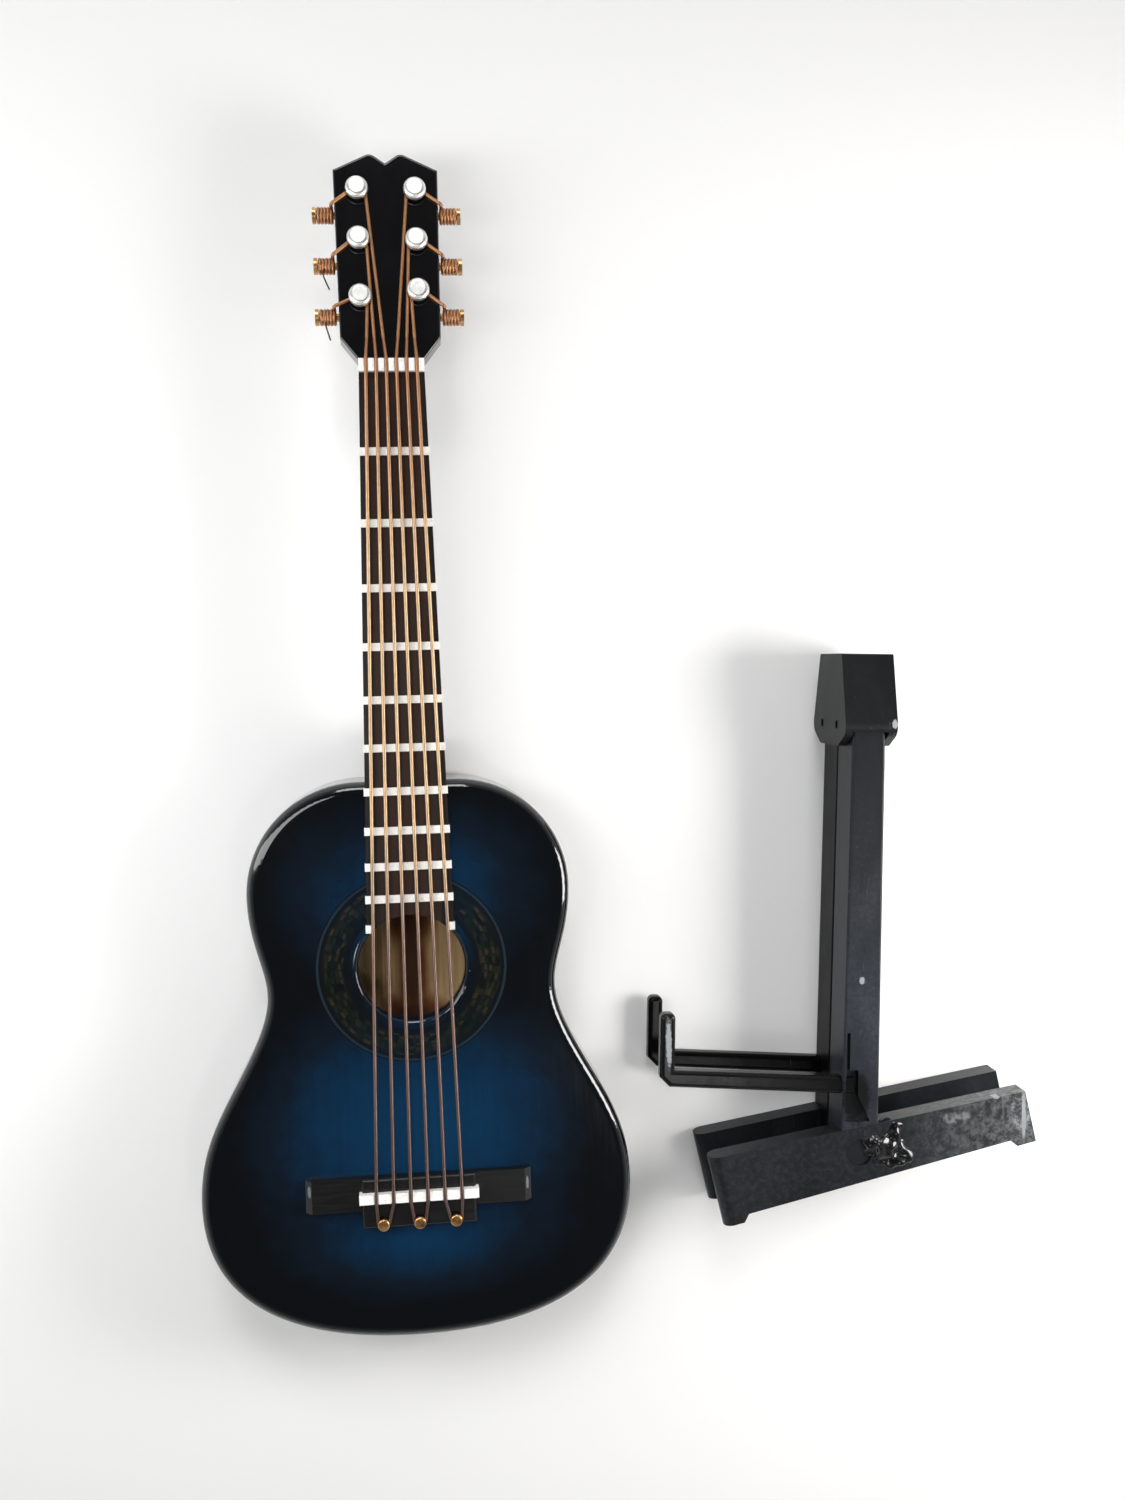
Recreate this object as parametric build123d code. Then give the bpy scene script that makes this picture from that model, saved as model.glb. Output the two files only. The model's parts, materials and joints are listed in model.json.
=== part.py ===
from build123d import *
from math import atan, cos, radians, sin, tan
import os

# A miniature acoustic guitar lying on its back, with its folding stand lying folded beside it.
# Millimetres. +Y runs along the neck towards the head, +X to the guitar's right as it is seen
# from above, +Z up from the table. The origin is on the back of the guitar, on its centreline,
# straight below the saddle.

# ---- Guitar body ----
body_depth = 15.0
back_thickness = 1.6
top_thickness = 2.2
side_thickness = 1.4
tail_y = -23.9
shoulder_y = 63.9
lower_bout_width = 67.2
lower_bout_y = -1.0
tail_fullness = 0.65
flank_width = 57.2
flank_y = 15.7
waist_width = 44.8
waist_y = 30.6
upper_bout_width = 50.0
upper_bout_y = 46.6
shoulder_flat_width = 14.8
top_edge_radius = 1.7
back_edge_radius = 1.0
block_length = 5.0
neck_block_width = 13.0
tail_block_width = 12.0

# ---- Soundhole and rosette ----
soundhole_y = 34.9
soundhole_radius = 8.25
soundhole_lip_radius = 0.9
rosette_inner_radius = 9.7
rosette_outer_radius = 14.9
rosette_thickness = 0.5

# ---- Neck, fingerboard and frets ----
nut_y = 126.0
nut_length = 1.9
nut_height = 0.95
nut_width = 9.9
board_width_at_hole = 13.3
board_thickness = 1.6
board_horn_clearance = 0.2
neck_depth_at_nut = 4.4
neck_depth_at_body = 5.4
heel_length = 6.5
heel_width = 11.0
heel_foot_z = 1.6
heel_radius = 2.5
fret_count = 11
first_fret_gap = 11.9
fret_gap_ratio = 0.908
fret_width = 1.2
fret_rise = 0.35
fret_slot_depth = 0.5
fret_overhang = 0.15
horn_fret_length = 1.3

# ---- Headstock, in its own tilted plane: y from the back of the nut ----
head_tilt = 6.0
head_thickness = 3.4
head_width = 16.0
head_low_width = 15.3
head_neck_y = 0.3
head_flare_y = 3.8
head_corner_y = 30.1
head_peak_x = 2.3
head_peak_y = 32.8
head_notch_y = 31.2
head_peak_radius = 1.3
head_edge_radius = 0.35

# ---- String posts and side pegs ----
left_post_ys = (10.0, 19.0, 26.8)
right_post_ys = (10.9, 18.8, 26.7)
post_x = 4.4
post_stem_radius = 0.8
post_stem_depth = 2.4
post_gap = 0.75
post_head_radius = 1.75
post_head_height = 0.95
post_dome_radius = 0.7
peg_ys = (7.5, 15.5, 23.5)
peg_radius = 0.6
peg_depth = 3.3
peg_running_clearance = 0.05
peg_flange_radius = 1.25
peg_flange_thickness = 0.55

# ---- Bridge, saddle and tie pins ----
bridge_length = 35.0
bridge_width = 5.1
bridge_wing_height = 1.5
bridge_wing_bevel = 1.0
tie_block_length = 17.6
tie_block_tail_y = -5.1
tie_block_height = 2.2
tie_block_radius = 0.4
saddle_y = -0.2
saddle_length = 18.4
saddle_thickness = 1.5
saddle_slot_depth = 1.0
saddle_rise = 1.1
tie_pin_y = -4.3
tie_pin_spacing = 5.6
tie_pin_stem_radius = 0.5
tie_pin_head_radius = 0.95
tie_pin_head_height = 0.6
tie_pin_depth = 1.2

# ---- Strings ----
string_count = 6
string_diameter = 0.55
nut_string_spread = 7.6
saddle_string_spread = 13.2
notch_depth = 0.4
notch_clearance = 0.05
string_lift = 0.05
string_bend = 0.5
string_landing_y = 3.5
string_leave_drop = 0.2
coil_turns = 5
coil_pitch = 0.5
coil_clearance = 0.12
coil_edge_gap = 0.12

# ---- Stand: x forward, y towards its left leg, z up, with the leg pins at z = 0 ----
stand_x = 73.4
stand_y = 70.3
stand_yaw = 2.15
leg_width = 7.5
leg_depth = 6.2
leg_top_depth = 5.35
leg_mid_gap = 0.3
leg_length = 64.8
leg_swing = 15.0
leg_edge_radius = 0.4
pin_radius = 0.7
pin_running_clearance = 0.05
pin_recess = 0.3
cap_depth = 8.5
cap_top_z = 11.4
cap_side_end_z = -1.0
cap_cheek_end_z = -3.4
cap_cheek_bevel = 4.4
cap_cheek_radius = 2.0
cap_wall = 0.9
cap_wall_clearance = 0.15
cap_leg_clearance = 0.25
cap_roof_clearance = 0.4
cap_edge_radius = 0.4
foot_length = 53.1
foot_behind_leg = 28.1
foot_front_height = 11.6
foot_rear_height = 8.6
foot_thickness = 3.8
foot_lean = 14.0
foot_pad_length = 3.2
foot_arch_height = 1.2
foot_arch_run = 1.0
foot_end_radius = 1.7
tongue_drop = 7.2
stake_radius = 2.2
stake_drop = 4.2
stake_recess = 0.5
arm_height = 2.8
arm_thickness = 2.6
arm_inset = 0.55
arm_reach = 32.7
arm_above_foot = 8.1
arm_rise = 3.2
arm_tenon = 2.0
arm_edge_radius = 0.7
hook_thickness = 2.4
hook_height = 9.2
hook_chamfer = 1.6
hook_tip_radius = 0.9
slot_width = 0.6
slot_length = 6.1
slot_above_arm = 1.2
slot_from_front = 0.6
slot_depth = 1.0
pocket_top_width = 2.0
pocket_bottom_width = 4.1
pocket_bottom_gap = 0.9

# ---- Worked out from the sizes above ----
string_radius = string_diameter / 2
soundboard_z = body_depth - top_thickness
board_top_z = body_depth + board_thickness
head_y = nut_y + nut_length
nut_top_z = board_top_z + nut_height
tie_block_top_z = body_depth + tie_block_height
saddle_top_z = tie_block_top_z + saddle_rise
coil_radius = peg_radius + coil_clearance + string_radius
coil_first_x = head_width / 2 + coil_edge_gap + string_radius
peg_flange_x = coil_first_x + (coil_turns - 1) * coil_pitch + string_radius + coil_edge_gap
leg_inner_y = leg_mid_gap / 2
leg_outer_y = leg_inner_y + leg_width
pin_y = leg_inner_y + leg_width / 2
arm_root_z = arm_above_foot - leg_length
slot_bottom_z = arm_root_z + slot_above_arm
slot_top_z = slot_bottom_z + slot_length
head_plane = Plane(
    origin=(0, head_y, body_depth),
    x_dir=(1, 0, 0),
    z_dir=(0, sin(radians(head_tilt)), cos(radians(head_tilt))),
)


def write(shape, node):
    shape.label = node
    export_step(shape, os.path.join("parts", node + ".step"))


def span_box(low, high):
    size = [high[i] - low[i] for i in range(3)]
    middle = [(high[i] + low[i]) / 2 for i in range(3)]
    return Pos(*middle) * Box(*size)


# ---- Guitar body ----

def body_face(inset=0):
    """Two bouts and a waist: a full round tail, splined flanks and elliptical shoulders."""
    lower_x = lower_bout_width / 2 - inset
    upper_x = upper_bout_width / 2 - inset
    flat_x = shoulder_flat_width / 2
    end_y = tail_y + inset
    rise = tail_fullness * (lower_bout_y - end_y)
    tail = Bezier((0, end_y), (tail_fullness * lower_x, end_y), (lower_x, lower_bout_y - rise),
                  (lower_x, lower_bout_y))
    flank = Spline((lower_x, lower_bout_y), (flank_width / 2 - inset, flank_y),
                   (waist_width / 2 - inset, waist_y), (upper_x, upper_bout_y),
                   tangents=[(0, 1), (0, 1)])
    shoulder = EllipticalCenterArc((flat_x, upper_bout_y), upper_x - flat_x,
                                   shoulder_y - upper_bout_y - inset,
                                   start_angle=0, arc_size=90)
    right = [tail, flank, shoulder]
    left = [mirror(edge, about=Plane.YZ) for edge in right]
    flat = Line((flat_x, shoulder_y - inset), (-flat_x, shoulder_y - inset))
    return make_face([*right, flat, *left])


def body_slab(low_z, high_z):
    return Pos(0, 0, low_z) * extrude(body_face(), high_z - low_z)


def body_cavity():
    inner = body_face(inset=side_thickness)
    return Pos(0, 0, back_thickness) * extrude(inner, soundboard_z - back_thickness)


def disc(radius, low_z, high_z):
    return Pos(0, soundhole_y, (low_z + high_z) / 2) * Cylinder(radius, high_z - low_z)


def make_rosette():
    low_z = body_depth - rosette_thickness
    outer = disc(rosette_outer_radius, low_z, body_depth)
    return outer - disc(rosette_inner_radius, low_z, body_depth)


def make_soundboard():
    board = body_slab(soundboard_z, body_depth)
    board = fillet(board.edges().group_by(Axis.Z)[-1], top_edge_radius)
    board -= disc(soundhole_radius, soundboard_z, body_depth)
    rim = board.edges().filter_by(GeomType.CIRCLE).group_by(Axis.Z)[-1]
    rim = rim.filter_by(lambda edge: abs(edge.radius - soundhole_radius) < soundhole_lip_radius)
    board = fillet(rim, soundhole_lip_radius)
    return board - make_rosette()


def make_back():
    back = body_slab(0, back_thickness)
    return fillet(back.edges().group_by(Axis.Z)[0], back_edge_radius)


def make_side(hand):
    """One bent side: hand is 1 on the right and -1 on the left."""
    ring = body_slab(back_thickness, soundboard_z) - body_cavity()
    half = Pos(hand * lower_bout_width / 2, 0, 0) * Box(
        lower_bout_width, 4 * shoulder_y, 4 * body_depth)
    return ring & half


def make_end_block(y_inner, y_outer, width):
    low = (-width / 2, min(y_inner, y_outer), back_thickness)
    high = (width / 2, max(y_inner, y_outer), soundboard_z)
    return body_cavity() & span_box(low, high)


# ---- Neck, fingerboard, frets and nut ----

def board_width(y):
    """Width of the tapered fingerboard at a distance along the guitar."""
    taper = (board_width_at_hole - nut_width) / (nut_y - soundhole_y - soundhole_radius)
    return nut_width + (nut_y - y) * taper


def neck_section(y, depth):
    half = min(board_width(y), board_width(nut_y) + (nut_y - y)) / 2
    section = Plane(origin=(0, y, body_depth), x_dir=(1, 0, 0), z_dir=(0, -1, 0))
    top = Line((half, 0), (-half, 0))
    belly = ThreePointArc((-half, 0), (0, -depth), (half, 0))
    return section * make_face([top, belly])


def head_face():
    neck = nut_width / 2
    right = [(neck, 0), (neck, head_neck_y), (head_low_width / 2, head_flare_y),
             (head_width / 2, head_corner_y), (head_peak_x, head_peak_y), (0, head_notch_y)]
    left = [(-x, y) for x, y in reversed(right[:-1])]
    face = make_face(Polyline(*right, *left, close=True))
    peaks = face.vertices().filter_by(lambda v: abs(v.Y - head_peak_y) < head_peak_radius / 2)
    return fillet(peaks, head_peak_radius)


def post_places():
    """Side, post and peg distance along the headstock, in the order of the strings."""
    left = [(-1, post_y, peg_y) for post_y, peg_y in zip(left_post_ys, peg_ys)]
    right = [(1, post_y, peg_y) for post_y, peg_y in zip(right_post_ys, peg_ys)]
    return left + right[::-1]


def peg_axis(hand, peg_y, x):
    """A plane whose z axis runs outwards along a side peg, from distance x off the centreline."""
    middle = Plane(origin=(hand * x, peg_y, -head_thickness / 2),
                   x_dir=(0, 1, 0), z_dir=(hand, 0, 0))
    return head_plane.location * middle.location


def peg_rod(hand, peg_y, radius, low_x, high_x):
    return peg_axis(hand, peg_y, low_x) * Pos(0, 0, (high_x - low_x) / 2) * Cylinder(
        radius, high_x - low_x)


def head_rod(hand, y, radius, low_z, high_z):
    return head_plane.location * Pos(hand * post_x, y, (low_z + high_z) / 2) * Cylinder(
        radius, high_z - low_z)


def make_neck():
    neck = loft([neck_section(head_y, neck_depth_at_nut),
                 neck_section(shoulder_y, neck_depth_at_body)])
    heel = span_box((-heel_width / 2, shoulder_y, heel_foot_z),
                    (heel_width / 2, shoulder_y + heel_length, body_depth - board_thickness))
    corners = heel.edges().filter_by(Axis.Z).group_by(Axis.Y)[-1]
    heel = fillet(corners, heel_radius)
    head = extrude(head_face(), -head_thickness)
    rim = head.edges().group_by(Axis.Z)[-1].filter_by(lambda edge: edge.center().Y > head_neck_y)
    head = head_plane.location * fillet(rim, head_edge_radius)
    neck = neck + heel + head
    for hand, post_y, peg_y in post_places():
        neck -= head_rod(hand, post_y, post_stem_radius, -post_stem_depth, 0)
        bore = peg_radius + peg_running_clearance
        neck -= peg_rod(hand, peg_y, bore, head_width / 2 - peg_depth, head_width / 2)
    return neck


def fret_distance(number):
    """Distance from the nut to a fret: each gap is shorter than the one before."""
    return first_fret_gap * (1 - fret_gap_ratio ** number) / (1 - fret_gap_ratio)


def make_fret(number):
    y = nut_y - fret_distance(number)
    half = board_width(y) / 2 + fret_overhang
    return span_box((-half, y - fret_width / 2, board_top_z - fret_slot_depth),
                    (half, y + fret_width / 2, board_top_z + fret_rise))


def make_horn_fret(hand):
    """The last fret is two short ends, because the soundhole interrupts it."""
    y = nut_y - fret_distance(fret_count)
    outer = board_width(y) / 2 + fret_overhang
    inner = outer - horn_fret_length
    low_x, high_x = sorted([hand * inner, hand * outer])
    return span_box((low_x, y - fret_width / 2, board_top_z - fret_slot_depth),
                    (high_x, y + fret_width / 2, board_top_z + fret_rise))


def all_frets():
    whole = {f"fret_{number:02d}": make_fret(number) for number in range(1, fret_count)}
    whole[f"fret_{fret_count}_left"] = make_horn_fret(-1)
    whole[f"fret_{fret_count}_right"] = make_horn_fret(1)
    return whole


def make_fingerboard(frets):
    near, far = board_width(nut_y) / 2, board_width(soundhole_y) / 2
    outline = Polyline((near, nut_y), (-near, nut_y), (-far, soundhole_y), (far, soundhole_y),
                       close=True)
    board = Pos(0, 0, body_depth) * extrude(make_face(outline), board_thickness)
    board -= disc(soundhole_radius + board_horn_clearance, body_depth, board_top_z)
    for fret in frets.values():
        board -= fret
    return board


def nut_strings():
    step = nut_string_spread / (string_count - 1)
    return [-nut_string_spread / 2 + i * step for i in range(string_count)]


def saddle_strings():
    step = saddle_string_spread / (string_count - 1)
    return [-saddle_string_spread / 2 + i * step for i in range(string_count)]


def cut_notches(shape, places, y, length, top_z):
    half = string_radius + notch_clearance
    for x in places:
        shape -= span_box((x - half, y - length, top_z - notch_depth),
                          (x + half, y + length, top_z + notch_depth))
    return shape


def make_nut():
    half = board_width(nut_y) / 2
    nut = span_box((-half, nut_y, body_depth), (half, head_y, nut_top_z))
    return cut_notches(nut, nut_strings(), nut_y, 2 * nut_length, nut_top_z)


# ---- Bridge ----

def saddle_blank():
    return span_box((-saddle_length / 2, saddle_y - saddle_thickness / 2,
                     tie_block_top_z - saddle_slot_depth),
                    (saddle_length / 2, saddle_y + saddle_thickness / 2, saddle_top_z))


def tie_pin_places():
    middle = (string_count // 2 - 1) / 2
    return [(i - middle) * tie_pin_spacing for i in range(string_count // 2)]


def tie_pin_rod(x, radius, low_z, high_z):
    return Pos(x, tie_pin_y, (low_z + high_z) / 2) * Cylinder(radius, high_z - low_z)


def make_bridge():
    wings = span_box((-bridge_length / 2, -bridge_width / 2, body_depth),
                     (bridge_length / 2, bridge_width / 2, body_depth + bridge_wing_height))
    tips = wings.edges().filter_by(Axis.Y).group_by(Axis.Z)[-1]
    wings = chamfer(tips, bridge_wing_bevel)
    block = span_box((-tie_block_length / 2, tie_block_tail_y, body_depth),
                     (tie_block_length / 2, bridge_width / 2, tie_block_top_z))
    block = fillet(block.edges().group_by(Axis.Z)[-1], tie_block_radius)
    bridge = wings + block - saddle_blank()
    for x in tie_pin_places():
        bridge -= tie_pin_rod(x, tie_pin_stem_radius, tie_block_top_z - tie_pin_depth,
                              tie_block_top_z)
    return bridge


def make_saddle():
    return cut_notches(saddle_blank(), saddle_strings(), saddle_y, saddle_thickness,
                       saddle_top_z)


def make_tie_pin(x):
    head_z = tie_block_top_z + string_diameter + 2 * string_lift
    stem = tie_pin_rod(x, tie_pin_stem_radius, tie_block_top_z - tie_pin_depth, head_z)
    head = tie_pin_rod(x, tie_pin_head_radius, head_z, head_z + tie_pin_head_height)
    head = fillet(head.edges().group_by(Axis.Z)[-1], tie_pin_head_height / 2)
    return stem + head


# ---- Posts, pegs and strings ----

def make_post(hand, y):
    stem = head_rod(hand, y, post_stem_radius, -post_stem_depth, post_gap)
    head = Cylinder(post_head_radius, post_head_height)
    head = fillet(head.edges().group_by(Axis.Z)[-1], post_dome_radius)
    centre = Pos(hand * post_x, y, post_gap + post_head_height / 2)
    return stem + head_plane.location * centre * head


def make_peg(hand, peg_y):
    shank = peg_rod(hand, peg_y, peg_radius, head_width / 2 - peg_depth, peg_flange_x)
    flange = peg_rod(hand, peg_y, peg_flange_radius, peg_flange_x,
                     peg_flange_x + peg_flange_thickness)
    return shank + flange


def make_coil(hand, peg_y):
    """The end of the string, wound side by side round its peg."""
    length = (coil_turns - 1) * coil_pitch
    low_r = peg_radius + coil_clearance
    core = Pos(low_r + string_radius / 2, length / 2) * Rectangle(string_radius, length)
    profile = core
    for turn in range(coil_turns):
        profile += Pos(coil_radius, turn * coil_pitch) * Circle(string_radius)
    winding = revolve(Plane.XZ * profile, Axis.Z)
    return peg_axis(hand, peg_y, coil_first_x) * winding


def string_route(index):
    """From its tie pin over the saddle and nut, once round the post and out to the peg."""
    hand, post_y, peg_y = post_places()[index]
    pin_x = tie_pin_places()[index // 2]
    pin_side = -1 if index % 2 == 0 else 1
    beside_pin = pin_x + pin_side * (tie_pin_stem_radius + string_radius + string_lift)
    notch_rise = string_radius + string_lift - notch_depth
    around = post_stem_radius + string_radius + string_lift
    on_head = string_radius + string_lift
    nut_x = nut_strings()[index]
    inner_x, outer_x = hand * (post_x - around), hand * (post_x + around)
    coil_y = peg_y + coil_radius
    share = string_landing_y / post_y
    landing_x = nut_x + (inner_x - nut_x) * share
    on_body = [
        Vector(beside_pin, tie_pin_y, tie_block_top_z + on_head),
        Vector(saddle_strings()[index], saddle_y - saddle_thickness / 2,
               saddle_top_z + notch_rise),
        Vector(nut_x, head_y, nut_top_z + notch_rise),
    ]
    on_plane = [
        Vector(landing_x, string_landing_y, on_head),
        Vector(inner_x, post_y + around, on_head),
        Vector(outer_x, post_y + around, on_head),
        Vector(outer_x, post_y - string_leave_drop, on_head),
        Vector(hand * coil_first_x, coil_y, on_head),
        Vector(hand * coil_first_x, coil_y - string_radius, string_radius - head_thickness / 2),
    ]
    return on_body + [head_plane.from_local_coords(point) for point in on_plane]


def make_string(index):
    around = post_stem_radius + string_radius + string_lift
    round_post, over_edge = 0.9 * around, 1.5 * string_radius
    bends = [string_bend] * 3 + [round_post, round_post, string_bend, over_edge]
    path = FilletPolyline(*string_route(index), radius=bends)
    start = Plane(origin=path @ 0, z_dir=path % 0)
    wire = sweep(start * Circle(string_radius), path)
    hand, _, peg_y = post_places()[index]
    return wire + make_coil(hand, peg_y)


# ---- Stand ----

def cap_face_x(z, gap):
    """How far out the cap's sloping side is at a height, a gap outside the fully swung leg."""
    reach = leg_width / 2 + gap
    swing = radians(leg_swing)
    return pin_y + (reach - z * sin(swing)) / cos(swing)


def cap_half_width():
    return cap_face_x(cap_side_end_z, cap_wall_clearance + cap_wall)


def foot_point(along, up):
    """A point in the stand's plane, from distances along and above the foot's ground line."""
    lean = radians(foot_lean)
    heel_up = foot_rear_height + (foot_front_height - foot_rear_height) * (
        foot_behind_leg / foot_length)
    x = along - foot_behind_leg
    z = up - heel_up
    return (x * cos(lean) + z * sin(lean), z * cos(lean) - x * sin(lean) - leg_length)


def stand_plane():
    """The stand lies on the lower edge of its cap and the lower front corner of its foot."""
    toe_z = foot_point(foot_length, 0)[1]
    half = cap_half_width()
    pitch = atan((half - leg_outer_y) / (cap_side_end_z - toe_z))
    yaw = radians(stand_yaw)
    height = half * cos(pitch) - cap_side_end_z * sin(pitch)
    up = (sin(yaw) * cos(pitch), cos(yaw) * cos(pitch), sin(pitch))
    return Plane(origin=(stand_x, stand_y, height), x_dir=(-cos(yaw), sin(yaw), 0), z_dir=up)


def cross_prism(points, low_x, high_x):
    """Extrudes an outline in the stand's side-to-side plane along its depth."""
    plane = Plane(origin=(low_x, 0, 0), x_dir=(0, 1, 0), z_dir=(1, 0, 0))
    return extrude(plane * make_face(Polyline(*points, close=True)), high_x - low_x)


def side_prism(points, low_y, high_y):
    """Extrudes an outline seen from the stand's side across its width."""
    plane = Plane(origin=(0, high_y, 0), x_dir=(1, 0, 0), z_dir=(0, -1, 0))
    return extrude(plane * make_face(Polyline(*points, close=True)), high_y - low_y)


def pin_rod(hand, radius, half_length):
    return Pos(0, hand * pin_y, 0) * Rot(0, 90, 0) * Cylinder(radius, 2 * half_length)


def make_cap():
    outer_gap = cap_wall_clearance + cap_wall
    top = cap_face_x(cap_top_z, outer_gap)
    side = cap_half_width()
    cheek = side - cap_cheek_bevel
    right = [(top, cap_top_z), (side, cap_side_end_z), (cheek, cap_cheek_end_z)]
    cap = cross_prism(right + [(-y, z) for y, z in reversed(right)],
                      -cap_depth / 2, cap_depth / 2)
    corners = cap.edges().filter_by(Axis.X)
    low_corners = corners.filter_by(lambda edge: edge.center().Z < cap_side_end_z / 2)
    cap = fillet(low_corners, cap_cheek_radius)
    top_corners = cap.edges().filter_by(Axis.X).group_by(Axis.Z)[-1]
    cap = fillet(top_corners, cap_edge_radius)
    roof = leg_width / 2 + cap_roof_clearance
    inside = [(cap_face_x(roof, cap_wall_clearance), roof),
              (cap_face_x(2 * cap_cheek_end_z, cap_wall_clearance), 2 * cap_cheek_end_z)]
    room = leg_top_depth / 2 + cap_leg_clearance
    cap -= cross_prism(inside + [(-y, z) for y, z in reversed(inside)], -room, room)
    below = 2 * cap_cheek_end_z
    far = 2 * side
    cap -= span_box((-room, -far, below), (room, far, cap_side_end_z))
    for hand in (-1, 1):
        cap -= pin_rod(hand, pin_radius, cap_depth)
    return cap


def make_hinge_pin(hand):
    return pin_rod(hand, pin_radius, cap_depth / 2 - pin_recess)


def foot_outline():
    pad, run = foot_pad_length, foot_arch_run
    return [foot_point(0, 0), foot_point(pad, 0), foot_point(pad + run, foot_arch_height),
            foot_point(foot_length - pad - run, foot_arch_height),
            foot_point(foot_length - pad, 0), foot_point(foot_length, 0),
            foot_point(foot_length, foot_front_height), foot_point(0, foot_rear_height)]


def stake_rod(low_y, high_y):
    middle = Pos(0, (low_y + high_y) / 2, -leg_length - stake_drop)
    return middle * Rot(90, 0, 0) * Cylinder(stake_radius, high_y - low_y)


def arm_outline():
    """The arm and its upturned hook, seen from the side, with the tenon inside the leg."""
    front = leg_depth / 2
    rise = tan(radians(arm_rise))
    top = arm_root_z + rise * (arm_reach - hook_thickness - front)
    tip = arm_root_z - arm_height + rise * (arm_reach - front)
    lip = top + hook_height
    back = front - arm_tenon
    return [(back, arm_root_z), (front, arm_root_z), (arm_reach - hook_thickness, top),
            (arm_reach - hook_thickness, lip), (arm_reach, lip),
            (arm_reach, tip + hook_chamfer), (arm_reach - hook_chamfer, tip),
            (front, arm_root_z - arm_height), (back, arm_root_z - arm_height)]


def make_left_arm():
    high_y = leg_outer_y - arm_inset
    arm = side_prism(arm_outline(), high_y - arm_thickness, high_y)
    tip = arm.edges().filter_by(Axis.Y).group_by(Axis.Z)[-1]
    arm = fillet(tip, hook_tip_radius)
    visible = arm.edges().filter_by(lambda edge: edge.center().X > leg_depth / 2 + 1)
    long_edges = visible.filter_by(lambda edge: abs(edge.tangent_at(0.5).Y) < 0.5)
    return fillet(long_edges, arm_edge_radius)


def pocket_outline():
    """The moulded recess in the leg's outer face, below its narrow slot."""
    front = leg_depth / 2 - slot_from_front
    floor = -leg_length + pocket_bottom_gap
    step = (slot_bottom_z + floor) / 2
    return [(front, slot_bottom_z), (front - pocket_top_width, slot_bottom_z),
            (front - pocket_top_width, step), (front - pocket_bottom_width, floor),
            (front, floor)]


def make_left_leg(arm):
    half, top_half = leg_depth / 2, leg_top_depth / 2
    low = -leg_length - foot_front_height
    shaft = [(-top_half, 0), (top_half, 0), (half, low), (-half, low)]
    leg = side_prism(shaft, leg_inner_y, leg_outer_y)
    leg += Pos(0, pin_y, 0) * Rot(0, 90, 0) * Cylinder(leg_width / 2, leg_top_depth)
    uprights = leg.edges().filter_by(lambda edge: edge.length > leg_length)
    leg = fillet(uprights.group_by(Axis.Y)[-1], leg_edge_radius)
    cut_y = leg_outer_y - foot_thickness
    sole = [foot_point(0, foot_rear_height), foot_point(foot_length, foot_front_height)]
    down = [(sole[1][0], 2 * low), (sole[0][0], 2 * low)]
    leg -= side_prism(sole + down, cut_y, 2 * leg_outer_y)
    below = -leg_length - tongue_drop
    leg -= span_box((-leg_length, -leg_length, 2 * low), (leg_length, leg_length, below))
    leg -= pin_rod(1, pin_radius + pin_running_clearance, cap_depth)
    slot_front = half - slot_from_front
    leg -= span_box((slot_front - slot_width, leg_outer_y - slot_depth, slot_bottom_z),
                    (slot_front, 2 * leg_outer_y, slot_top_z))
    leg -= side_prism(pocket_outline(), leg_outer_y - slot_depth, 2 * leg_outer_y)
    leg += stake_rod(cut_y, leg_outer_y - stake_recess)
    return leg - arm


def make_left_foot():
    low_y = leg_outer_y - foot_thickness
    foot = side_prism(foot_outline(), low_y, leg_outer_y)
    ends = foot.edges().filter_by(foot_end_edge)
    foot = fillet(ends, foot_end_radius)
    return foot - stake_rod(low_y, leg_outer_y)


def foot_end_edge(edge):
    """The two upright edges at the foot's front end, which is rounded off."""
    top, toe = foot_point(foot_length, foot_front_height), foot_point(foot_length, 0)
    middle = edge.center()
    straight = abs(edge.length - foot_front_height) < 0.01
    return straight and abs(middle.X - (top[0] + toe[0]) / 2) < 0.01


def stand_pieces():
    arm = make_left_arm()
    left = {"leg": make_left_leg(arm), "foot": make_left_foot(), "arm": arm}
    pieces = {"stand_cap": make_cap()}
    for name, shape in left.items():
        pieces["left_" + name] = shape
        pieces["right_" + name] = mirror(shape, about=Plane.XZ)
    pieces["left_hinge_pin"] = make_hinge_pin(1)
    pieces["right_hinge_pin"] = make_hinge_pin(-1)
    place = stand_plane().location
    return {name: place * shape for name, shape in pieces.items()}


def guitar_pieces():
    frets = all_frets()
    inner_shoulder = shoulder_y - side_thickness
    inner_tail = tail_y + side_thickness
    pieces = {
        "soundboard": make_soundboard(),
        "back_plate": make_back(),
        "side_left": make_side(-1),
        "side_right": make_side(1),
        "neck_block": make_end_block(inner_shoulder - block_length, inner_shoulder,
                                     neck_block_width),
        "tail_block": make_end_block(tail_y, inner_tail + block_length, tail_block_width),
        "neck": make_neck(),
        "fingerboard": make_fingerboard(frets),
        "nut": make_nut(),
        "rosette": make_rosette(),
        "bridge": make_bridge(),
        "saddle": make_saddle(),
    }
    pieces.update(frets)
    for number, x in enumerate(tie_pin_places(), 1):
        pieces[f"tie_pin_{number}"] = make_tie_pin(x)
    for index, (hand, post_y, peg_y) in enumerate(post_places()):
        pieces[f"string_post_{index + 1}"] = make_post(hand, post_y)
        pieces[f"tuning_peg_{index + 1}"] = make_peg(hand, peg_y)
        pieces[f"string_{index + 1}"] = make_string(index)
    return pieces


os.makedirs("parts", exist_ok=True)
for node, shape in {**guitar_pieces(), **stand_pieces()}.items():
    write(shape, node)
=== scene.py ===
"""The looks of a miniature blue-burst guitar and its folded stand, lying on a pale table."""
import json
import math

import bmesh
import bpy
from mathutils import Matrix, Vector, noise


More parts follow.
